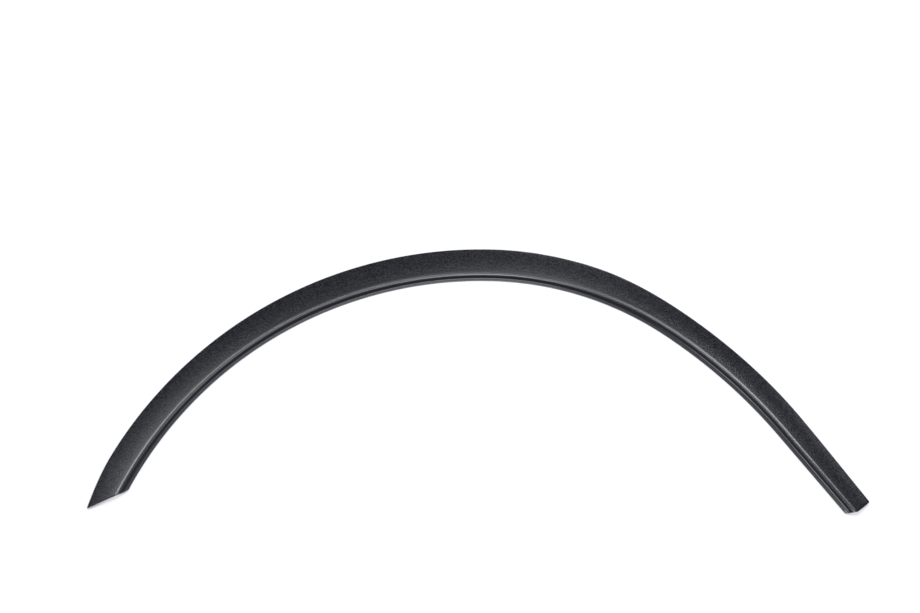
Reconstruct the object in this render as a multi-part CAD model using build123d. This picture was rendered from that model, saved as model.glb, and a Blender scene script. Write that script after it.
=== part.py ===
from build123d import *
from math import cos, radians, sin, tan
import os

# Wheel arch trim: one sheet of grained black plastic, formed to a low ridged section that follows
# the wheel opening, and trimmed to a mitred point at one end and square at the other.
# It lies on its back: the back lands are at z = 0, the shown face looks up, the crown is towards +Y.
# Sizes are in millimetres and degrees.

# Wheel opening edge, from the pointed end over the crown to the square end
START_HEADING = 67.5
FRONT_RADIUS = 363.0
FRONT_TURN = 69.5
CROWN_RADIUS = 295.0
CROWN_TURN = 35.5
REAR_RADIUS = 488.0
REAR_TURN = 18.0
TAIL_LENGTH = 99.6

# Width of the strip: at the tip, past the point, where the stretches above meet, and at the end
TIP_WIDTH = 28.5
POINT_WIDTH = 32.7
FRONT_WIDTH = 37.1
CROWN_WIDTH = 36.3
REAR_WIDTH = 32.6
TAIL_WIDTH = 30.0
END_WIDTH = 26.6

# Section across the strip, from the wheel opening edge to the outer rim
SHEET = 2.0
LIP_HEIGHT = 0.9
LIP_WIDTH = 2.0
LIP_SLOPE = 21.0
COVE_RADIUS = 1.5
WALL_SLOPE = 55.0
WALL_LENGTH = 0.5
RIDGE_RADIUS = 6.3
CREST_SLOPE = 3.5
RIM_HEIGHT = 1.3
RIM_LAND = 4.0

# Pointed end: a straight mitre that leans in under the face, with its inner corner and its tip rounded
MITRE_START = -3.5
MITRE_ANGLE = 41.7
MITRE_LEAN = 23
MITRE_CORNER_ROUND = 2.0
TIP_ROUND = 0.7
POINT_LENGTH = 24.0

# Square end: straight across the face, then set back from the ridge to the wheel opening edge.
# It leans in under the face too
END_LEAN = 23
END_SETBACK = 4.0
END_KNEE_ROUND = 6.0
END_CORNER_ROUND = 1.5
END_INNER_ROUND = 1.0


# Wheel opening edge

ARCS = [(FRONT_RADIUS, FRONT_TURN), (CROWN_RADIUS, CROWN_TURN), (REAR_RADIUS, REAR_TURN)]
ARC_LENGTHS = [radius * radians(turn) for radius, turn in ARCS]
FRONT_END = ARC_LENGTHS[0]
CROWN_END = FRONT_END + ARC_LENGTHS[1]
REAR_END = CROWN_END + ARC_LENGTHS[2]
EDGE_LENGTH = REAR_END + TAIL_LENGTH


def edge_at(place):
    """Point and heading of the wheel opening edge at a length along it, which may lie past its ends."""
    x = y = 0.0
    heading = radians(START_HEADING)
    for (radius, turn), length in zip(ARCS, ARC_LENGTHS):
        turned = min(place, length) / radius
        x += radius * (sin(heading) - sin(heading - turned))
        y += radius * (cos(heading - turned) - cos(heading))
        heading -= turned
        place -= length
        if place <= 0:
            return x, y, heading
    return x + place * cos(heading), y + place * sin(heading), heading


# Width of the strip along that edge

TIP_PLACE = MITRE_START - TIP_WIDTH / tan(radians(MITRE_ANGLE))
WIDTHS = [
    (TIP_PLACE, TIP_WIDTH),
    (MITRE_START + POINT_LENGTH, POINT_WIDTH),
    (FRONT_END, FRONT_WIDTH),
    ((FRONT_END + CROWN_END) / 2, CROWN_WIDTH),
    (CROWN_END, REAR_WIDTH),
    (REAR_END, TAIL_WIDTH),
    (EDGE_LENGTH, END_WIDTH),
]


def width_slopes():
    """Slope of the width at each named width: the harmonic mean of its two sides, so it never overshoots."""
    sides = []
    for (place, width), (next_place, next_width) in zip(WIDTHS, WIDTHS[1:]):
        sides.append((next_width - width) / (next_place - place))
    slopes = [sides[0]]
    for before, after in zip(sides, sides[1:]):
        slopes.append(2 * before * after / (before + after) if before * after > 0 else 0.0)
    return slopes + [sides[-1]]


WIDTH_SLOPES = width_slopes()


def width_at(place):
    """Width of the strip at a length along the wheel opening edge, on a smooth curve through WIDTHS."""
    if place <= TIP_PLACE:
        return TIP_WIDTH + WIDTH_SLOPES[0] * (place - TIP_PLACE)
    if place >= EDGE_LENGTH:
        return END_WIDTH + WIDTH_SLOPES[-1] * (place - EDGE_LENGTH)
    span = max(k for k in range(len(WIDTHS) - 1) if WIDTHS[k][0] <= place)
    (start, first), (stop, last) = WIDTHS[span], WIDTHS[span + 1]
    step = stop - start
    t = (place - start) / step
    rise = (last - first) * t * t * (3 - 2 * t)
    leave = step * WIDTH_SLOPES[span] * t * (1 - t) ** 2
    arrive = step * WIDTH_SLOPES[span + 1] * t * t * (1 - t)
    return first + rise + leave - arrive


# Section: x runs outwards from the wheel opening edge, y runs up from the back

def round_point(centre, radius, slope):
    """Point of a round where its surface slopes this much towards the wheel opening."""
    return centre[0] - radius * sin(radians(slope)), centre[1] + radius * cos(radians(slope))


def round_arc(centre, radius, first_slope, last_slope):
    """Arc of a round, from one slope of its surface to another."""
    slopes = first_slope, (first_slope + last_slope) / 2, last_slope
    return ThreePointArc(*[round_point(centre, radius, slope) for slope in slopes])


LIP_EDGE = (0, LIP_HEIGHT)
LIP_TOP = (LIP_WIDTH, LIP_HEIGHT + LIP_WIDTH * tan(radians(LIP_SLOPE)))
COVE_CENTRE = round_point(LIP_TOP, COVE_RADIUS, LIP_SLOPE)
WALL_FOOT = round_point(COVE_CENTRE, -COVE_RADIUS, WALL_SLOPE)
WALL_RUN = WALL_LENGTH * cos(radians(WALL_SLOPE)), WALL_LENGTH * sin(radians(WALL_SLOPE))
WALL_TOP = (WALL_FOOT[0] + WALL_RUN[0], WALL_FOOT[1] + WALL_RUN[1])
RIDGE_CENTRE = round_point(WALL_TOP, -RIDGE_RADIUS, WALL_SLOPE)
CREST = round_point(RIDGE_CENTRE, RIDGE_RADIUS, -CREST_SLOPE)
FACE_LEAVES = (cos(radians(CREST_SLOPE)), -sin(radians(CREST_SLOPE)))

BACK_RIDGE_RADIUS = RIDGE_RADIUS - SHEET
BACK_COVE_RADIUS = COVE_RADIUS + SHEET
BACK_CREST = round_point(RIDGE_CENTRE, BACK_RIDGE_RADIUS, -CREST_SLOPE)
BACK_WALL_TOP = round_point(RIDGE_CENTRE, BACK_RIDGE_RADIUS, WALL_SLOPE)
BACK_WALL_FOOT = round_point(COVE_CENTRE, -BACK_COVE_RADIUS, WALL_SLOPE)
BACK_LIP_TOP = round_point(COVE_CENTRE, -BACK_COVE_RADIUS, LIP_SLOPE)
BACK_LIP_EDGE = (0, LIP_HEIGHT - SHEET / cos(radians(LIP_SLOPE)))

# The rim and the lip are drawn deeper than the back, and then cut flat to make the two lands
DRAWN_DEPTH = -SHEET


def section(width):
    """Closed outline of the sheet across the strip, for one strip width."""
    rim = (width, RIM_HEIGHT)
    rim_land_end = (width - RIM_LAND, 0)
    shown_side = [
        Line(LIP_EDGE, LIP_TOP),
        round_arc(COVE_CENTRE, -COVE_RADIUS, LIP_SLOPE, WALL_SLOPE),
        Line(WALL_FOOT, WALL_TOP),
        round_arc(RIDGE_CENTRE, RIDGE_RADIUS, WALL_SLOPE, -CREST_SLOPE),
        TangentArc(CREST, rim, tangent=FACE_LEAVES),
    ]
    rim_side = Polyline(rim, (width, DRAWN_DEPTH), (width - RIM_LAND, DRAWN_DEPTH), rim_land_end)
    back = [
        TangentArc(BACK_CREST, rim_land_end, tangent=FACE_LEAVES),
        round_arc(RIDGE_CENTRE, BACK_RIDGE_RADIUS, -CREST_SLOPE, WALL_SLOPE),
        Line(BACK_WALL_TOP, BACK_WALL_FOOT),
        round_arc(COVE_CENTRE, -BACK_COVE_RADIUS, WALL_SLOPE, LIP_SLOPE),
    ]
    lip_side = Polyline(BACK_LIP_TOP, BACK_LIP_EDGE, LIP_EDGE)
    return make_face(shown_side + [rim_side] + back + [lip_side])


# Strip, drawn through sections square to the wheel opening edge, one for each width of its length

def across(place):
    """Plane square to the wheel opening edge, with x outwards and y up."""
    x, y, heading = edge_at(place)
    return Plane((x, y, 0), x_dir=(-sin(heading), cos(heading), 0), z_dir=(cos(heading), sin(heading), 0))


def strip():
    first = TIP_PLACE - FRONT_WIDTH
    last = EDGE_LENGTH + FRONT_WIDTH
    steps = round((last - first) / FRONT_WIDTH)
    places = [first + (last - first) * k / steps for k in range(steps + 1)]
    return loft([across(place) * section(width_at(place)) for place in places])


# Cuts, each several widths long and deep so that it clears the strip

CUT_SIZE = 4 * FRONT_WIDTH


def back_cut():
    """What is cut off under the lands, all along the strip."""
    return Pos(0, 0, -CUT_SIZE / 2) * Box(4 * EDGE_LENGTH, 4 * EDGE_LENGTH, CUT_SIZE)


def mitre_cut():
    """What the mitre takes off: all that lies past a line across the strip."""
    x, y, heading = edge_at(MITRE_START)
    line = heading - radians(MITRE_ANGLE)
    plane = Plane((x, y, 0), x_dir=(cos(line), sin(line), 0), z_dir=(0, 0, 1))
    return plane * Rot(MITRE_LEAN, 0, 0) * Pos(0, -CUT_SIZE / 2, 0) * Box(2 * CUT_SIZE, CUT_SIZE, CUT_SIZE)


def square_cut():
    """What the square end takes off, with the set back from the ridge to the wheel opening edge."""
    knee = (CREST[0], 0)
    set_back_far = END_SETBACK * (1 + CUT_SIZE / CREST[0])
    outline = Polyline(
        (-CUT_SIZE, set_back_far),
        knee,
        (CUT_SIZE, 0),
        (CUT_SIZE, -CUT_SIZE),
        (-CUT_SIZE, -CUT_SIZE),
        close=True,
    )
    area = make_face(outline)
    area = fillet(area.vertices().sort_by_distance(knee)[0], END_KNEE_ROUND)
    x, y, heading = edge_at(EDGE_LENGTH)
    plane = Plane((x, y, 0), x_dir=(-sin(heading), cos(heading), 0), z_dir=(0, 0, 1))
    lean = (0, -sin(radians(END_LEAN)), cos(radians(END_LEAN)))
    return plane * extrude(area, CUT_SIZE / 2, dir=lean, both=True)


def round_corner(solid, place, width, radius):
    """Round the steep edge nearest to a place along the strip and a width across it."""
    x, y, heading = edge_at(place)
    corner = (x - width * sin(heading), y + width * cos(heading), 0)
    steep = [edge for edge in solid.edges() if abs(edge.tangent_at(0.5).Z) > sin(radians(45))]
    return fillet(ShapeList(steep).sort_by_distance(corner)[0], radius)


trim = strip() - back_cut() - mitre_cut() - square_cut()
trim = round_corner(trim, TIP_PLACE, TIP_WIDTH, TIP_ROUND)
trim = round_corner(trim, MITRE_START, 0, MITRE_CORNER_ROUND)
trim = round_corner(trim, EDGE_LENGTH, END_WIDTH, END_CORNER_ROUND)
trim = round_corner(trim, EDGE_LENGTH, 0, END_INNER_ROUND)

# The origin is under the middle of the trim, on the surface that it lies on
box = trim.bounding_box()
trim = Pos(-box.center().X, -box.center().Y, -box.min.Z) * trim

os.makedirs("parts", exist_ok=True)
export_step(trim, "parts/arch_trim.step")
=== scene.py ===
import math

import bpy
from mathutils import Matrix, Vector


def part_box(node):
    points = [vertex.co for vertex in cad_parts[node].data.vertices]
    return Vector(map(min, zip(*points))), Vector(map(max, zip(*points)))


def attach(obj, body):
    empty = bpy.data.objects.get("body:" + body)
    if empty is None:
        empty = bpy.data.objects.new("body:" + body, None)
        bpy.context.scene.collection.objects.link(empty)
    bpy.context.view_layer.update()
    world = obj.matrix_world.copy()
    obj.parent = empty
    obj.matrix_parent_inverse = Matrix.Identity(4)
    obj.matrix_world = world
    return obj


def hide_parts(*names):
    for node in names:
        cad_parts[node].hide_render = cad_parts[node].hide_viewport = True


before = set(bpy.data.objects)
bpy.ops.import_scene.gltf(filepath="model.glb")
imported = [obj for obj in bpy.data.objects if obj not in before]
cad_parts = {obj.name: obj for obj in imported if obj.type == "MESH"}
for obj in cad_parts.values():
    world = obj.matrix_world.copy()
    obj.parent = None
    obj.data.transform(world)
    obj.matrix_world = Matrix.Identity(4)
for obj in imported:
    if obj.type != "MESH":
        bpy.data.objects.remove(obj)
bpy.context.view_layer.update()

bl_info = {
    "name": "Wheel Arch Trim",
    "version": (1, 0, 0),
    "blender": (4, 5, 0),
    "location": "View3D > Sidebar > Arch Trim",
    "description": "Builds a wheel arch trim of grained plastic and the studio that it lies in",
    "category": "Add Mesh",
}

TRIM_NODE = "arch_trim"
TRIM_BODY = "root"
MM = 0.001
UP = (0, 0, 1)
WHITE = (1, 1, 1, 1)


# Values that a user would change

def length(name, millimetres, about):
    """A size, given in millimetres and kept in metres."""
    return bpy.props.FloatProperty(
        name=name, description=about, default=millimetres * MM,
        subtype="DISTANCE", unit="LENGTH", precision=4,
    )


def angle(name, degrees, about):
    """An angle, given in degrees and kept in radians."""
    return bpy.props.FloatProperty(
        name=name, description=about, default=math.radians(degrees), subtype="ANGLE", unit="ROTATION"
    )


def factor(name, value, about):
    """A number from 0 to 1."""
    return bpy.props.FloatProperty(
        name=name, description=about, default=value, subtype="FACTOR", min=0, max=1
    )


def linear(srgb_hex):
    """Linear colour of an sRGB hex value."""
    parts = [int(srgb_hex[k:k + 2], 16) / 255 for k in (1, 3, 5)]
    return [c / 12.92 if c <= 0.04045 else ((c + 0.055) / 1.055) ** 2.4 for c in parts]


def colour(name, srgb_hex, about):
    """A colour, given as an sRGB hex value and kept linear."""
    return bpy.props.FloatVectorProperty(
        name=name, description=about, default=linear(srgb_hex), subtype="COLOR", size=3, min=0, max=1
    )


class TrimEdge(bpy.types.PropertyGroup):
    """Wheel opening edge, from the pointed end over the crown to the square end."""

    start_heading: angle("Start Heading", 67.5, "Direction of the edge at the pointed end, from +X")
    front_radius: length("Front Radius", 363.0, "Radius from the pointed end to the crown")
    front_turn: angle("Front Turn", 69.5, "Turn of that stretch")
    crown_radius: length("Crown Radius", 295.0, "Radius over the crown")
    crown_turn: angle("Crown Turn", 35.5, "Turn over the crown")
    rear_radius: length("Rear Radius", 488.0, "Radius behind the crown")
    rear_turn: angle("Rear Turn", 18.0, "Turn behind the crown")
    tail_length: length("Tail Length", 99.6, "Straight stretch up to the square end")


class TrimWidth(bpy.types.PropertyGroup):
    """Width of the strip at places along the edge."""

    tip: length("Tip", 28.5, "Width at the tip of the pointed end")
    point: length("Point", 32.7, "Width just past the pointed end")
    front: length("Front", 37.1, "Width where the crown starts, which is the widest")
    crown: length("Crown", 36.3, "Width at the middle of the crown")
    rear: length("Rear", 32.6, "Width where the crown ends")
    tail: length("Tail", 30.0, "Width where the straight stretch starts")
    end: length("End", 26.6, "Width at the square end, which is the narrowest")


class TrimSection(bpy.types.PropertyGroup):
    """Section across the strip, from the wheel opening edge to the outer rim."""

    sheet: length("Sheet", 2.0, "Thickness of the plastic")
    lip_height: length("Lip Height", 0.9, "Height of the lip's edge")
    lip_width: length("Lip Width", 2.0, "Width of the lip up to the cove")
    lip_slope: angle("Lip Slope", 21.0, "Slope of the lip")
    cove_radius: length("Cove Radius", 1.5, "Radius between the lip and the wall")
    wall_slope: angle("Wall Slope", 55.0, "Slope of the wall under the ridge")
    wall_length: length("Wall Length", 0.5, "Straight part of the wall")
    ridge_radius: length("Ridge Radius", 6.3, "Radius of the ridge")
    crest_slope: angle("Crest Slope", 3.5, "Fall of the face where it leaves the ridge")
    rim_height: length("Rim Height", 1.3, "Height of the outer rim")
    rim_round: length("Rim Round", 1.0, "Round of the outer rim's upper edge")
    rim_land: length("Rim Land", 4.0, "Width of the flat land on the back of the rim")
    eased_edge: length("Eased Edge", 0.2, "How far the trimmed edges are eased")


class TrimEnds(bpy.types.PropertyGroup):
    """Cuts at the two ends of the strip."""

    mitre_start: length("Mitre Start", -3.5, "Place along the edge where the mitre starts")
    mitre_angle: angle("Mitre Angle", 41.7, "Angle between the mitre and the edge")
    mitre_lean: angle("Mitre Lean", 23.0, "How far the mitre leans in under the face")
    mitre_corner_round: length("Mitre Corner Round", 2.0, "Round where the mitre meets the edge")
    tip_round: length("Tip Round", 0.7, "Round of the tip")
    point_length: length("Point Length", 24.0, "Length from the mitre's start to full width")
    end_lean: angle("End Lean", 23.0, "How far the square end leans in under the face")
    end_setback: length("End Set Back", 4.0, "How far the square end is set back at the edge")
    end_knee_round: length("End Knee Round", 6.0, "Round where the set back starts")
    end_corner_round: length("End Corner Round", 1.5, "Round of the square end's outer corner")
    end_inner_round: length("End Inner Round", 1.0, "Round of the square end's corner at the edge")


class TrimFinish(bpy.types.PropertyGroup):
    """Grained black plastic."""

    dark: colour("Dark", "#0b0c10", "Colour of the darkest pebbles of the grain")
    pale: colour("Pale", "#2c2d32", "Colour of the palest pebbles")
    roughness: factor("Roughness", 0.22, "Roughness of the plastic")
    pebble: length("Pebble", 1.3, "Size of the pebbles of the grain")
    pebble_depth: length("Pebble Depth", 0.115, "Depth of the grain")
    grain_start: length("Grain Start", 0.5, "Distance outwards from the crest where the grain starts")
    grain_full: length("Grain Full", 5.0, "Distance outwards from the crest where it has its full depth")


class TrimStudio(bpy.types.PropertyGroup):
    """Floor, light and camera."""

    paper: colour("Paper", "#bfbfc4", "Colour of the floor and its backdrop")
    floor_reach: length("Floor Reach", 12000.0, "Distance from the middle of the floor to its sides")
    backdrop_height: length("Backdrop Height", 2600.0, "Height of the backdrop at the back and left")
    room: factor("Room", 0.12, "Brightness of the room around the floor")
    lamp_colour: colour("Lamp Colour", "#f8f9ff", "Colour of the lamps' light")
    lamp_distance: length("Lamp Distance", 1400.0, "Distance of the lamps from the middle of the floor")
    camera_elevation: angle("Camera Elevation", 62.0, "How far the camera looks down")
    camera_distance: length("Camera Distance", 1460.75, "Distance of the camera from what it looks at")
    aim_x: length("Aim X", -17.46, "Where on the floor the camera looks, to the right of the middle")
    aim_y: length("Aim Y", 77.42, "Where on the floor the camera looks, behind the middle")


class TrimSettings(bpy.types.PropertyGroup):
    """All values of the trim and its studio."""

    edge: bpy.props.PointerProperty(type=TrimEdge)
    width: bpy.props.PointerProperty(type=TrimWidth)
    section: bpy.props.PointerProperty(type=TrimSection)
    ends: bpy.props.PointerProperty(type=TrimEnds)
    finish: bpy.props.PointerProperty(type=TrimFinish)
    studio: bpy.props.PointerProperty(type=TrimStudio)


# Wheel opening edge and the strip's width along it

class EdgeLine:
    """The wheel opening edge: a chain of arcs and a straight tail, with the strip's width along it."""

    def __init__(self, trim):
        edge, width, ends = trim.edge, trim.width, trim.ends
        self.heading = edge.start_heading
        self.arcs = [
            (edge.front_radius, edge.front_turn),
            (edge.crown_radius, edge.crown_turn),
            (edge.rear_radius, edge.rear_turn),
        ]
        joints = [0.0]
        for radius, turn in self.arcs:
            joints.append(joints[-1] + radius * turn)
        self.length = joints[-1] + edge.tail_length
        self.widths = [
            (ends.mitre_start - width.tip / math.tan(ends.mitre_angle), width.tip),
            (ends.mitre_start + ends.point_length, width.point),
            (joints[1], width.front),
            ((joints[1] + joints[2]) / 2, width.crown),
            (joints[2], width.rear),
            (joints[3], width.tail),
            (self.length, width.end),
        ]
        sides = [(w1 - w0) / (p1 - p0) for (p0, w0), (p1, w1) in zip(self.widths, self.widths[1:])]
        middle = [2 * a * b / (a + b) if a * b > 0 else 0.0 for a, b in zip(sides, sides[1:])]
        self.slopes = [sides[0], *middle, sides[-1]]

    def point(self, place):
        """Point of the edge at a length along it, which may lie past its ends."""
        x = y = 0.0
        heading = self.heading
        for radius, turn in self.arcs:
            turned = min(place / radius, turn)
            x += radius * (math.sin(heading) - math.sin(heading - turned))
            y += radius * (math.cos(heading - turned) - math.cos(heading))
            heading -= turned
            place -= radius * turn
            if place <= 0:
                return Vector((x, y, 0))
        return Vector((x + place * math.cos(heading), y + place * math.sin(heading), 0))

    def width(self, place):
        """Width of the strip at a length along the edge, on a smooth curve through the given widths."""
        (first_place, first_width), (last_place, last_width) = self.widths[0], self.widths[-1]
        if place <= first_place:
            return first_width + self.slopes[0] * (place - first_place)
        if place >= last_place:
            return last_width + self.slopes[-1] * (place - last_place)
        span = max(k for k in range(len(self.widths) - 1) if self.widths[k][0] <= place)
        (start, before), (stop, after) = self.widths[span], self.widths[span + 1]
        step = stop - start
        t = (place - start) / step
        rise = (after - before) * t * t * (3 - 2 * t)
        leave = step * self.slopes[span] * t * (1 - t) ** 2
        arrive = step * self.slopes[span + 1] * t * t * (1 - t)
        return before + rise + leave - arrive


# Section: x runs outwards from the wheel opening edge, z runs up from the back

LIP_STEPS = 5
COVE_STEPS = 7
RIDGE_STEPS = 16
FACE_STEPS = 27
BACK_STEPS = 24
RIM_STEPS = 6


def shares(steps):
    """Equal shares up to 1, without the 0."""
    return [(k + 1) / steps for k in range(steps)]


def round_point(centre, radius, slope):
    """Point of a round where its surface slopes this much towards the wheel opening."""
    return centre[0] - radius * math.sin(slope), centre[1] + radius * math.cos(slope)


def round_points(centre, radius, first, last, steps):
    """Points of a round from one slope of its surface to another, without the first."""
    return [round_point(centre, radius, first + (last - first) * t) for t in shares(steps)]


def fall_points(start, slope, stop, steps):
    """Points of the arc that leaves start at this downward slope and ends at stop, without the first."""
    run, drop = stop[0] - start[0], start[1] - stop[1]
    half_turn = math.atan2(drop, run) - slope
    radius = math.hypot(run, drop) / (2 * math.sin(half_turn))
    centre = start[0] - radius * math.sin(slope), start[1] - radius * math.cos(slope)
    return [round_point(centre, radius, -slope - 2 * half_turn * t) for t in shares(steps)]


def line_points(start, stop, steps):
    """Points of a straight line, without the first."""
    run, rise = stop[0] - start[0], stop[1] - start[1]
    return [(start[0] + run * t, start[1] + rise * t) for t in shares(steps)]


def crest_of(section):
    """The section's main points: lip's top, cove's centre, wall's top, ridge's centre and crest."""
    lip_top = (section.lip_width, section.lip_height + section.lip_width * math.tan(section.lip_slope))
    cove_centre = round_point(lip_top, section.cove_radius, section.lip_slope)
    wall_foot = round_point(cove_centre, -section.cove_radius, section.wall_slope)
    wall_top = (
        wall_foot[0] + section.wall_length * math.cos(section.wall_slope),
        wall_foot[1] + section.wall_length * math.sin(section.wall_slope),
    )
    ridge_centre = round_point(wall_top, -section.ridge_radius, section.wall_slope)
    crest = round_point(ridge_centre, section.ridge_radius, -section.crest_slope)
    return lip_top, cove_centre, wall_top, ridge_centre, crest


def shown_row(section, width):
    """Points of the section's shown side for one strip width, from the lip's edge to the rim's foot."""
    lip_top, cove_centre, wall_top, ridge_centre, crest = crest_of(section)
    lip, wall, fall = section.lip_slope, section.wall_slope, section.crest_slope
    face_fall = math.atan2(crest[1] - section.rim_height, width - crest[0])
    rim_slope = 2 * face_fall - fall
    rim_drop = section.rim_round * (1 / math.cos(rim_slope) - math.tan(rim_slope))
    rim_centre = (width - section.rim_round, section.rim_height - rim_drop)
    face_end = round_point(rim_centre, section.rim_round, -rim_slope)
    row = [(0, section.lip_height)]
    row += line_points(row[0], lip_top, LIP_STEPS)
    row += round_points(cove_centre, -section.cove_radius, lip, wall, COVE_STEPS)
    row += [wall_top]
    row += round_points(ridge_centre, section.ridge_radius, wall, -fall, RIDGE_STEPS)
    row += fall_points(crest, fall, face_end, FACE_STEPS)
    row += round_points(rim_centre, section.rim_round, -rim_slope, -math.pi / 2, RIM_STEPS)
    return row


def back_row(section, width, shown):
    """Points of the section's back, one for each point of the shown side."""
    _, cove_centre, _, ridge_centre, _ = crest_of(section)
    wall, fall = section.wall_slope, section.crest_slope
    ridge_radius = section.ridge_radius - section.sheet
    cove_radius = section.cove_radius + section.sheet
    land_slope = math.acos(cove_centre[1] / cove_radius)
    lip_land_end = round_point(cove_centre, -cove_radius, land_slope)
    rim_land_start = (width - section.rim_land, 0)
    face_end_x = shown[-RIM_STEPS - 1][0]
    row = [(0, 0)]
    row += line_points(row[0], lip_land_end, LIP_STEPS)
    row += round_points(cove_centre, -cove_radius, land_slope, wall, COVE_STEPS)
    row += [round_point(ridge_centre, ridge_radius, wall)]
    row += round_points(ridge_centre, ridge_radius, wall, -fall, RIDGE_STEPS)
    row += fall_points(round_point(ridge_centre, ridge_radius, -fall), fall, rim_land_start, BACK_STEPS)
    row += line_points(rim_land_start, (face_end_x, 0), FACE_STEPS - BACK_STEPS)
    row += [(x, 0) for x, z in shown[-RIM_STEPS:]]
    return row


def section_rows(section, width):
    """Points of the section for one strip width: the shown side and the back, as many on each."""
    shown = shown_row(section, width)
    return shown, back_row(section, width, shown)


# End cuts: the place along the edge where a cut meets a point of the section

def rounding(depth, corner, radius):
    """How far a corner's round draws a cut back, at a depth from the edge that it meets at this angle."""
    tangent = radius / math.tan(corner / 2)
    if depth >= tangent * math.sin(corner):
        return 0.0
    return tangent - math.sqrt(radius ** 2 - (radius - depth) ** 2) - depth / math.tan(corner)


def mitre_place(trim, across, height=0.0):
    """Where the straight, leaning mitre crosses the line at this distance from the curved edge."""
    radius, mitre = trim.edge.front_radius, trim.ends.mitre_angle
    under = height * math.tan(trim.ends.mitre_lean)
    square = radius * math.sin(mitre)
    outside = 2 * radius * (across + under * math.cos(mitre)) + across ** 2 - under ** 2
    reach = math.sqrt(square ** 2 + outside) - square
    behind = reach * math.cos(mitre) + under * math.sin(mitre)
    beside = reach * math.sin(mitre) - under * math.cos(mitre)
    return trim.ends.mitre_start - radius * math.atan2(behind, radius + beside)


def pointed_place(trim, point, tip_width):
    """Where the pointed end starts at a point of the section, with its two corners rounded."""
    across, height = point
    ends = trim.ends
    inner = rounding(across, math.pi - ends.mitre_angle, ends.mitre_corner_round)
    outer = rounding(tip_width - across, ends.mitre_angle, ends.tip_round)
    return mitre_place(trim, across, height) + inner + outer


def square_place(trim, point, end_width, edge_length):
    """Where the square end stops at a point of the section, set back from the ridge to the edge."""
    across, height = point
    ends = trim.ends
    knee = crest_of(trim.section)[-1][0]
    turn = math.atan2(ends.end_setback, knee)
    bend = ends.end_knee_round * math.tan(turn / 2)
    set_back = max(0.0, knee - across) * math.tan(turn)
    if knee - bend * math.cos(turn) < across < knee + bend:
        into_bend = knee + bend - across
        set_back = ends.end_knee_round - math.sqrt(ends.end_knee_round ** 2 - into_bend ** 2)
    inner = rounding(across, math.pi / 2 + turn, ends.end_inner_round)
    outer = rounding(end_width - across, math.pi / 2, ends.end_corner_round)
    return edge_length + height * math.tan(ends.end_lean) - set_back - inner - outer


# Small helpers

# Numbers of the Mix node's sockets, several of which have the same name
MIX_FACTOR = 0
MIX_NUMBER_A, MIX_NUMBER_B = 2, 3
MIX_VECTOR_A, MIX_VECTOR_B = 4, 5
MIX_COLOUR_A, MIX_COLOUR_B = 6, 7


def add_node(tree, kind, inputs=None, **settings):
    """Adds a node with its settings, and its inputs by name or number from a value, a node or an output."""
    node = tree.nodes.new(kind)
    for name, value in settings.items():
        setattr(node, name, value)
    for key, value in (inputs or {}).items():
        if isinstance(value, bpy.types.Node):
            value = next(output for output in value.outputs if output.enabled)
        if isinstance(value, bpy.types.NodeSocket):
            tree.links.new(value, node.inputs[key])
        else:
            node.inputs[key].default_value = value
    return node


def link_object(name, data):
    """A new object in the scene, at the origin."""
    made = bpy.data.objects.new(name, data)
    bpy.context.scene.collection.objects.link(made)
    return made


def new_material(name):
    """An empty node material and its tree."""
    material = bpy.data.materials.new(name)
    material.use_nodes = True
    material.node_tree.nodes.clear()
    return material, material.node_tree


# Strip along the edge, in Geometry Nodes

# How far the edge's curve runs on past its ends, and the step between its points
EDGE_LEAD = 60 * MM
EDGE_STEP = 2 * MM
# Length over which the slant of an end cut fades out along the strip
SKEW_LENGTH = 120 * MM
POINTS_ALONG = 321
# Edges that turn by more than these angles are eased, and are shaded sharp
EASED_ABOVE = math.radians(50)
SHARP_ABOVE = math.radians(40)
EASED_SEGMENTS = 2

STRIP_INPUTS = [
    ("Edge", "NodeSocketObject"),
    ("Edge Lead", "NodeSocketFloat"),
    ("Narrow Section", "NodeSocketObject"),
    ("Narrow Width", "NodeSocketFloat"),
    ("Wide Section", "NodeSocketObject"),
    ("Wide Width", "NodeSocketFloat"),
    ("First Place", "NodeSocketFloat"),
    ("Last Place", "NodeSocketFloat"),
    ("Skew Length", "NodeSocketFloat"),
    ("Points Along", "NodeSocketInt"),
    ("Points Across", "NodeSocketInt"),
    ("Grain Start", "NodeSocketFloat"),
    ("Grain Full", "NodeSocketFloat"),
    ("Plastic", "NodeSocketMaterial"),
]


def edge_curve(line):
    """The wheel opening edge as a curve with a lead past each end; its radius is the strip's width."""
    curve = bpy.data.curves.new("wheel_opening_edge", "CURVE")
    curve.dimensions = "3D"
    spline = curve.splines.new("POLY")
    whole = line.length + 2 * EDGE_LEAD
    steps = round(whole / EDGE_STEP)
    spline.points.add(steps)
    for k, point in enumerate(spline.points):
        place = whole * k / steps - EDGE_LEAD
        point.co = (*line.point(place), 1)
        point.radius = line.width(place)
    return link_object("wheel_opening_edge", curve)


def section_points(name, rows, starts, stops):
    """A section's two rows as a mesh of points, with the places where each point starts and stops."""
    mesh = bpy.data.meshes.new(name)
    points = [(x, 0, z) for row in rows for x, z in row]
    mesh.from_pydata(points, [], [])
    for attribute, places in (("starts_at", starts), ("stops_at", stops)):
        mesh.attributes.new(attribute, "FLOAT", "POINT").data.foreach_set("value", places)
    return link_object(name, mesh)


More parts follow.
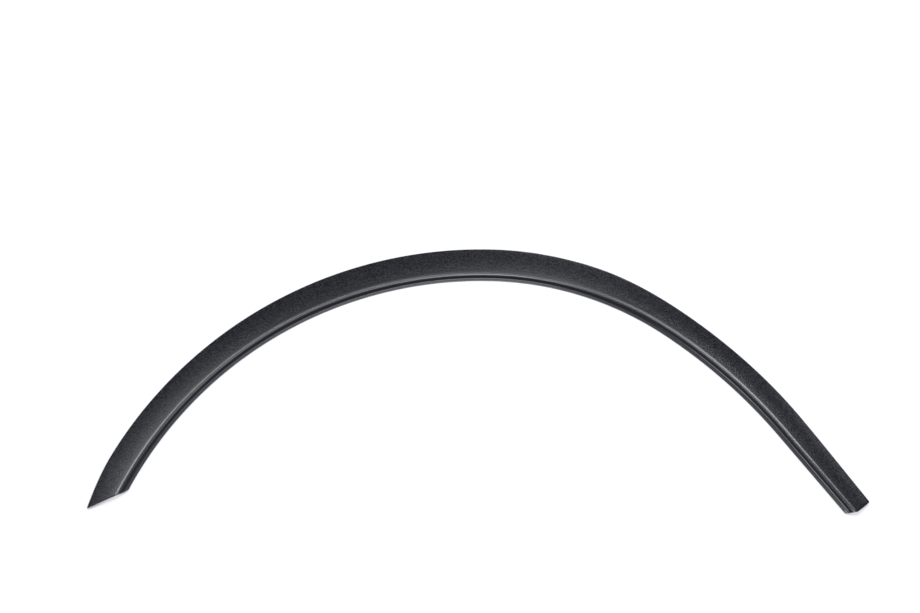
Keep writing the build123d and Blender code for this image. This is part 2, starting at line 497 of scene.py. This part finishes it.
def strip_tree():
    """Draws a section along a curve, as wide as the curve's radius and cut at both ends."""
    tree = bpy.data.node_groups.new("strip_along_edge", "GeometryNodeTree")
    for name, kind in STRIP_INPUTS:
        tree.interface.new_socket(name=name, in_out="INPUT", socket_type=kind)
    tree.interface.new_socket(name="Strip", in_out="OUTPUT", socket_type="NodeSocketGeometry")
    size = add_node(tree, "NodeGroupInput").outputs

    # A block of side 1 with a slice of points for each place along the strip, its shown side up
    block = add_node(tree, "GeometryNodeMeshCube", {
        "Vertices X": size["Points Along"], "Vertices Y": size["Points Across"], "Vertices Z": 2,
    })
    position = add_node(tree, "GeometryNodeInputPosition")
    share = add_node(tree, "ShaderNodeSeparateXYZ", {0: position}).outputs

    # The point's number in the section, where the back's points follow those of the shown side
    last = add_node(tree, "ShaderNodeMath", {0: size["Points Across"], 1: 1}, operation="SUBTRACT")
    across = add_node(tree, "ShaderNodeMapRange", {
        "Value": share["Y"], "From Min": -0.5, "From Max": 0.5, "To Min": 0, "To Max": last,
    })
    across = add_node(tree, "ShaderNodeMath", {0: across}, operation="ROUND")
    is_back = add_node(tree, "ShaderNodeMath", {0: share["Z"], 1: 0}, operation="LESS_THAN")
    index = add_node(tree, "ShaderNodeMath", {
        0: is_back, 1: size["Points Across"], 2: across,
    }, operation="MULTIPLY_ADD")
    narrow = add_node(tree, "GeometryNodeObjectInfo", {"Object": size["Narrow Section"]})
    narrow = narrow.outputs["Geometry"]
    wide = add_node(tree, "GeometryNodeObjectInfo", {"Object": size["Wide Section"]})
    wide = wide.outputs["Geometry"]

    # The place along the edge, shifted by each cut at its end, which fades out over the skew length
    along = add_node(tree, "ShaderNodeMapRange", {
        "Value": share["X"], "From Min": -0.5, "From Max": 0.5,
        "To Min": size["First Place"], "To Max": size["Last Place"],
    })
    place = along
    cuts = (("starts_at", "First Place", "ADD"), ("stops_at", "Last Place", "SUBTRACT"))
    for cut, end, inwards in cuts:
        cut_place = add_node(tree, "GeometryNodeInputNamedAttribute", {"Name": cut}, data_type="FLOAT")
        cut_place = add_node(tree, "GeometryNodeSampleIndex", {
            "Geometry": narrow, "Value": cut_place, "Index": index,
        }, data_type="FLOAT")
        shift = add_node(tree, "ShaderNodeMath", {0: cut_place, 1: size[end]}, operation="SUBTRACT")
        far = add_node(tree, "ShaderNodeMath", {0: size[end], 1: size["Skew Length"]}, operation=inwards)
        fade = add_node(tree, "ShaderNodeMapRange", {
            "Value": along, "From Min": size[end], "From Max": far, "To Min": 1, "To Max": 0,
        }, interpolation_type="SMOOTHSTEP")
        place = add_node(tree, "ShaderNodeMath", {0: shift, 1: fade, 2: place}, operation="MULTIPLY_ADD")

    # The edge there, and the strip's width
    edge = add_node(tree, "GeometryNodeObjectInfo", {"Object": size["Edge"]})
    on_curve = add_node(tree, "ShaderNodeMath", {0: place, 1: size["Edge Lead"]}, operation="ADD")
    there = add_node(tree, "GeometryNodeSampleCurve", {
        "Curves": edge.outputs["Geometry"],
        "Value": add_node(tree, "GeometryNodeInputRadius"),
        "Length": on_curve,
    }, mode="LENGTH", data_type="FLOAT").outputs
    widening = add_node(tree, "ShaderNodeMapRange", {
        "Value": there["Value"], "From Min": size["Narrow Width"], "From Max": size["Wide Width"],
    }, clamp=False)

    # The section's point for that width, set off outwards from the edge and up
    narrow_point = add_node(tree, "GeometryNodeSampleIndex", {
        "Geometry": narrow, "Value": position, "Index": index,
    }, data_type="FLOAT_VECTOR")
    wide_point = add_node(tree, "GeometryNodeSampleIndex", {
        "Geometry": wide, "Value": position, "Index": index,
    }, data_type="FLOAT_VECTOR")
    section = add_node(tree, "ShaderNodeMix", {
        MIX_FACTOR: widening, MIX_VECTOR_A: narrow_point, MIX_VECTOR_B: wide_point,
    }, data_type="VECTOR", clamp_factor=False)
    offset = add_node(tree, "ShaderNodeSeparateXYZ", {0: section}).outputs
    outward = add_node(tree, "ShaderNodeVectorMath", {
        0: UP, 1: there["Tangent"],
    }, operation="CROSS_PRODUCT")
    outward = add_node(tree, "ShaderNodeVectorMath", {0: outward}, operation="NORMALIZE")
    set_off = add_node(tree, "ShaderNodeVectorMath", {0: outward, "Scale": offset["X"]}, operation="SCALE")
    set_up = add_node(tree, "ShaderNodeCombineXYZ", {"Z": offset["Z"]})
    point = add_node(tree, "ShaderNodeVectorMath", {0: there["Position"], 1: set_off}, operation="ADD")
    point = add_node(tree, "ShaderNodeVectorMath", {0: point, 1: set_up}, operation="ADD")

    # How much of the grain each point has, stored while the block's points are still in their places
    grain = add_node(tree, "ShaderNodeMapRange", {
        "Value": offset["X"], "From Min": size["Grain Start"], "From Max": size["Grain Full"],
    }, interpolation_type="SMOOTHSTEP")
    strip = add_node(tree, "GeometryNodeStoreNamedAttribute", {
        "Geometry": block.outputs["Mesh"], "Name": "grain", "Value": grain,
    }, data_type="FLOAT", domain="POINT")
    strip = add_node(tree, "GeometryNodeSetPosition", {"Geometry": strip, "Position": point})
    strip = add_node(tree, "GeometryNodeRealizeInstances", {"Geometry": strip})
    strip = add_node(tree, "GeometryNodeSetMaterial", {"Geometry": strip, "Material": size["Plastic"]})
    add_node(tree, "NodeGroupOutput", {"Strip": strip})
    return tree


def grained_abs(finish):
    """ABS moulded in a grained tool: a near-black satin, smooth on the ridge, with pebbles on the face."""
    material, tree = new_material("grained_moulded_abs")
    where = add_node(tree, "ShaderNodeTexCoord").outputs["Object"]
    grain = add_node(tree, "ShaderNodeAttribute", attribute_name="grain").outputs["Fac"]
    # The real pebbles are too fine to show, so they are drawn as coarse as they need to be seen
    pebbles = add_node(tree, "ShaderNodeTexVoronoi", {
        "Vector": where, "Scale": 1 / finish.pebble, "Smoothness": 0.3,
    }, feature="SMOOTH_F1").outputs
    # Each pebble has its own shade, which gives the face its salt and pepper and fades with the grain
    own_shade = add_node(tree, "ShaderNodeSeparateColor", {0: pebbles["Color"]}).outputs["Red"]
    mean_shade = 0.5
    shade = add_node(tree, "ShaderNodeMix", {
        MIX_FACTOR: grain, MIX_NUMBER_A: mean_shade, MIX_NUMBER_B: own_shade,
    })
    plastic = add_node(tree, "ShaderNodeMix", {
        MIX_FACTOR: shade, MIX_COLOUR_A: (*finish.dark, 1), MIX_COLOUR_B: (*finish.pale, 1),
    }, data_type="RGBA")
    # Their domes break the gleam on the face into a broad soft sheen, while the ridge keeps a clean line
    bump = add_node(tree, "ShaderNodeBump", {
        "Strength": grain, "Distance": finish.pebble_depth, "Height": pebbles["Distance"],
    }, invert=True)
    surface = add_node(tree, "ShaderNodeBsdfPrincipled", {
        "Base Color": plastic, "Roughness": finish.roughness, "IOR": 1.54, "Normal": bump,
    })
    add_node(tree, "ShaderNodeOutputMaterial", {"Surface": surface})
    return material


class ARCHTRIM_OT_strip(bpy.types.Operator):
    """Draws the trim's section along the wheel opening edge, and cuts its ends"""

    bl_idname = "arch_trim.strip"
    bl_label = "Build Strip"

    def execute(self, context):
        trim = context.scene.arch_trim
        line = EdgeLine(trim)
        narrow, wide = trim.width.end, trim.width.front
        narrow_rows = section_rows(trim.section, narrow)
        tip_width = line.width(mitre_place(trim, trim.width.tip))
        tip_rows = section_rows(trim.section, tip_width)
        starts = [pointed_place(trim, point, tip_width) for row in tip_rows for point in row]
        stops = [square_place(trim, point, narrow, line.length) for row in narrow_rows for point in row]
        crest = crest_of(trim.section)[-1][0]
        edge = edge_curve(line)
        narrow_section = section_points("narrow_section", narrow_rows, starts, stops)
        wide_section = section_points("wide_section", section_rows(trim.section, wide), starts, stops)
        values = {
            "Edge": edge, "Edge Lead": EDGE_LEAD,
            "Narrow Section": narrow_section, "Narrow Width": narrow,
            "Wide Section": wide_section, "Wide Width": wide,
            "First Place": trim.ends.mitre_start, "Last Place": line.length, "Skew Length": SKEW_LENGTH,
            "Points Along": POINTS_ALONG, "Points Across": len(narrow_rows[0]),
            "Grain Start": crest + trim.finish.grain_start, "Grain Full": crest + trim.finish.grain_full,
            "Plastic": grained_abs(trim.finish),
        }
        drawn = link_object("strip_drawn", bpy.data.meshes.new("strip_drawn"))
        tree = strip_tree()
        nodes = drawn.modifiers.new("strip", "NODES")
        nodes.node_group = tree
        for socket in tree.interface.items_tree:
            if socket.in_out == "INPUT":
                nodes[socket.identifier] = values[socket.name]
        easing = drawn.modifiers.new("eased_edges", "BEVEL")
        easing.width = trim.section.eased_edge
        easing.segments = EASED_SEGMENTS
        easing.limit_method = "ANGLE"
        easing.angle_limit = EASED_ABOVE

        evaluated = drawn.evaluated_get(context.evaluated_depsgraph_get())
        mesh = bpy.data.meshes.new_from_object(evaluated)
        for helper in (drawn, edge, narrow_section, wide_section):
            bpy.data.objects.remove(helper)
        # The strip lies over the middle of its node's box
        low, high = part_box(TRIM_NODE)
        shift = [0, 0, 0]
        for k in (0, 1):
            reach = [vertex.co[k] for vertex in mesh.vertices]
            shift[k] = (low[k] + high[k] - min(reach) - max(reach)) / 2
        mesh.transform(Matrix.Translation(shift))
        mesh.shade_smooth()
        mesh.set_sharp_from_angle(angle=SHARP_ABOVE)
        mesh.name = "trim_strip"
        strip = link_object("trim_strip", mesh)
        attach(strip, TRIM_BODY)
        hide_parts(TRIM_NODE)
        return {"FINISHED"}


# Stage: white paper, soft lamps and the camera

# The floor lies just under the trim, so that the two share no plane
FLOOR_DROP = 0.1 * MM
# How near the trim has to be to the paper for the paper's glow to be dimmed, which paints a contact shadow
PAINTED_CONTACT_SHADOW = 3 * MM
# Distances in metres between which the lamps' light falls off, and the paper's own glow at each
LAMPLIT_TO, UNLIT_FROM = 0.5, 2.0
LAMPLIT_GLOW, UNLIT_GLOW = 0.5, 1.0
# The camera's sensor in millimetres, and its view in pixels of the picture
SENSOR_WIDTH = 36.0
PICTURE_WIDTH_PIXELS = 920.0
FOCAL_LENGTH_PIXELS = 1440.0

# Each lamp's name, its place in degrees from straight above to the right and to the back, its turn in
# degrees, its width and depth in metres, and its brightness, where white paper's is 1
LAMPS = [
    ("back_right_softbox", 18, 18, 0, 0.35, 0.45, 14.0),
    ("back_left_strip", -12, 28, 30, 1.3, 0.2, 2.8),
    ("front_softbox", 0, -23, 30, 0.3, 0.5, 11.0),
    ("front_right_strip", 20, -15, -10, 0.8, 0.2, 6.0),
    ("top_strip", -10, 8, -15, 0.6, 0.2, 13.0),
    ("left_softbox", -35, 15, 30, 0.9, 0.7, 0.8),
    ("right_card", 55, 35, 0, 0.25, 0.25, 1.7),
    ("back_card", 20, 80, 0, 0.5, 0.4, 14.0),
    ("left_card", -65, -50, 0, 0.25, 0.25, 7.0),
]


def white_paper(studio):
    """Matt paper that looks white all over, apart from the shadow close to the trim, which is partly real
    and partly painted shade where the paper's glow is dimmed.
    """
    material, tree = new_material("white_paper")
    path = add_node(tree, "ShaderNodeLightPath").outputs
    seen = add_node(tree, "ShaderNodeMath", {
        0: path["Is Camera Ray"], 1: path["Is Glossy Ray"],
    }, operation="ADD")
    seen = add_node(tree, "ShaderNodeMath", {
        0: seen, 1: path["Is Transmission Ray"],
    }, operation="ADD", use_clamp=True)
    # The glow is dimmed where the trim is close, a painted shadow on top of the paper's real one
    painted_shade_mask = add_node(tree, "ShaderNodeAmbientOcclusion", {"Distance": PAINTED_CONTACT_SHADOW}).outputs["AO"]
    glow = add_node(tree, "ShaderNodeMath", {0: seen, 1: painted_shade_mask}, operation="MULTIPLY")
    # Away from the lamps the paper stays white
    where = add_node(tree, "ShaderNodeTexCoord").outputs["Object"]
    away = add_node(tree, "ShaderNodeVectorMath", {0: where}, operation="LENGTH").outputs["Value"]
    level = add_node(tree, "ShaderNodeMapRange", {
        "Value": away, "From Min": LAMPLIT_TO, "From Max": UNLIT_FROM,
        "To Min": LAMPLIT_GLOW, "To Max": UNLIT_GLOW,
    })
    glow = add_node(tree, "ShaderNodeMath", {0: glow, 1: level}, operation="MULTIPLY")
    paper = add_node(tree, "ShaderNodeBsdfDiffuse", {"Color": (*studio.paper, 1)})
    shine = add_node(tree, "ShaderNodeEmission", {"Color": WHITE, "Strength": glow})
    both = add_node(tree, "ShaderNodeAddShader", {0: paper, 1: shine})
    add_node(tree, "ShaderNodeOutputMaterial", {"Surface": both})
    return material


def lay_floor(studio):
    """The floor, with a backdrop along its left and back sides."""
    reach = studio.floor_reach
    sides = [(reach, reach), (reach, -reach), (-reach, -reach), (-reach, reach)]
    corners = [(x, y, z) for z in (0, studio.backdrop_height) for x, y in sides]
    floor_face, left_face, back_face = (3, 2, 1, 0), (2, 3, 7, 6), (3, 0, 4, 7)
    mesh = bpy.data.meshes.new("floor")
    mesh.from_pydata(corners, [], [floor_face, left_face, back_face])
    mesh.materials.append(white_paper(studio))
    floor = link_object("floor", mesh)
    floor.location.z = -FLOOR_DROP


def dim_room(studio):
    """An even dim room, which the trim shows as the dark line under its ridge."""
    world = bpy.data.worlds.new("room")
    world.use_nodes = True
    world.node_tree.nodes.clear()
    room = add_node(world.node_tree, "ShaderNodeBackground", {"Color": WHITE, "Strength": studio.room})
    add_node(world.node_tree, "ShaderNodeOutputWorld", {"Surface": room})
    return world


def hang_lamp(studio, name, right, back, turn, wide, deep, brightness):
    """A soft lamp that faces the middle of the floor."""
    light = bpy.data.lights.new(name, "AREA")
    light.shape = "RECTANGLE"
    light.size, light.size_y = wide, deep
    light.energy = brightness * math.pi * wide * deep
    light.color = studio.lamp_colour
    lamp = link_object(name, light)
    tilt = math.radians(math.hypot(right, back))
    around = math.atan2(back, right)
    above = Vector((math.sin(tilt) * math.cos(around), math.sin(tilt) * math.sin(around), math.cos(tilt)))
    side = Vector((0, 1, 0)).cross(above).normalized()
    upright = Matrix((side, above.cross(side), above)).transposed()
    lamp.rotation_euler = (upright @ Matrix.Rotation(math.radians(turn), 3, "Z")).to_euler()
    lamp.location = studio.lamp_distance * above


def set_camera(studio):
    """The camera, which looks down on the trim from the front."""
    camera_data = bpy.data.cameras.new("camera")
    camera_data.sensor_width = SENSOR_WIDTH
    camera_data.lens = SENSOR_WIDTH * FOCAL_LENGTH_PIXELS / PICTURE_WIDTH_PIXELS
    camera = link_object("camera", camera_data)
    aim = Vector((studio.aim_x, studio.aim_y, 0))
    back = Vector((0, -math.cos(studio.camera_elevation), math.sin(studio.camera_elevation)))
    camera.location = aim + back * studio.camera_distance
    camera.rotation_euler = (-back).to_track_quat("-Z", "Y").to_euler()
    return camera


class ARCHTRIM_OT_stage(bpy.types.Operator):
    """Sets a white floor, soft studio light and the camera"""

    bl_idname = "arch_trim.stage"
    bl_label = "Set Stage"

    def execute(self, context):
        scene = context.scene
        studio = scene.arch_trim.studio
        scene.view_settings.view_transform = "Standard"
        lay_floor(studio)
        scene.world = dim_room(studio)
        for lamp in LAMPS:
            hang_lamp(studio, *lamp)
        scene.camera = set_camera(studio)
        return {"FINISHED"}


class ARCHTRIM_PT_panel(bpy.types.Panel):
    """Values and steps of the wheel arch trim"""

    bl_idname = "ARCHTRIM_PT_panel"
    bl_label = "Wheel Arch Trim"
    bl_space_type = "VIEW_3D"
    bl_region_type = "UI"
    bl_category = "Arch Trim"

    def draw(self, context):
        trim = context.scene.arch_trim
        for group in (trim.edge, trim.width, trim.section, trim.ends, trim.finish, trim.studio):
            box = self.layout.box()
            box.label(text=type(group).__doc__)
            for name in type(group).__annotations__:
                box.prop(group, name)
        self.layout.operator(ARCHTRIM_OT_strip.bl_idname)
        self.layout.operator(ARCHTRIM_OT_stage.bl_idname)


CLASSES = (
    TrimEdge, TrimWidth, TrimSection, TrimEnds, TrimFinish, TrimStudio, TrimSettings,
    ARCHTRIM_OT_strip, ARCHTRIM_OT_stage, ARCHTRIM_PT_panel,
)


def register():
    for cls in CLASSES:
        bpy.utils.register_class(cls)
    bpy.types.Scene.arch_trim = bpy.props.PointerProperty(type=TrimSettings)


def unregister():
    del bpy.types.Scene.arch_trim
    for cls in reversed(CLASSES):
        bpy.utils.unregister_class(cls)


def main():
    register()
    bpy.ops.arch_trim.strip()
    bpy.ops.arch_trim.stage()


if __name__ == "__main__":
    main()
